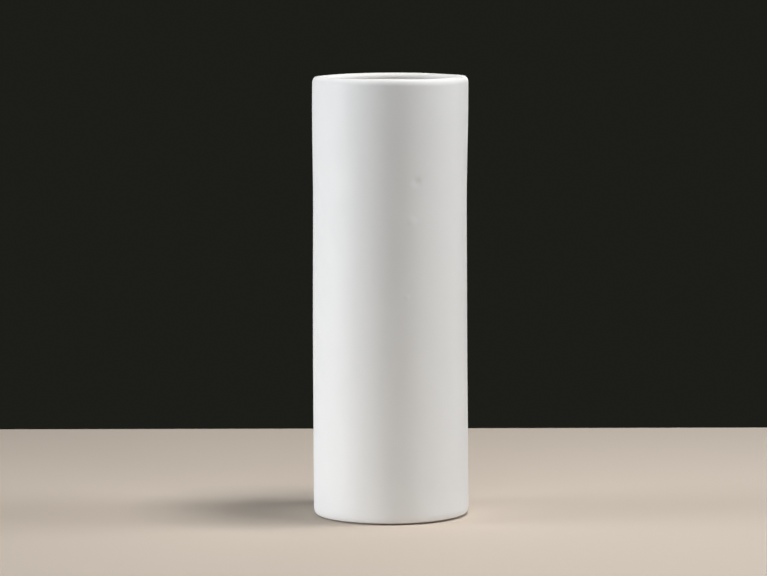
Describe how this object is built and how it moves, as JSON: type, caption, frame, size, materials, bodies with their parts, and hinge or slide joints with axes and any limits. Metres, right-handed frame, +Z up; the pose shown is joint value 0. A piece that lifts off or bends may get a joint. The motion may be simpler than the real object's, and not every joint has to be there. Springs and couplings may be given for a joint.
{
  "type": "ceramic cylinder vase",
  "caption": "Tall straight-sided white ceramic cylinder vase with a smooth rounded lip, a faint waist, a deep open bore and a recessed dry foot ring.",
  "frame": {"origin": "on the vase's axis, on the surface that the foot ring stands on", "axes": "+Z up along the vase's axis, out of the mouth; X and Y are free, since the vase is round"},
  "size_m": [0.1062, 0.1062, 0.3],
  "materials": {
    "bisque": "matte",
    "satin_white_glaze": "satin",
    "liner_glaze": "gloss"
  },
  "bodies": {
    "root": {"ceramic_body": "bisque", "outer_glaze": "satin_white_glaze", "inner_glaze": "liner_glaze"}
  },
  "joints": []
}
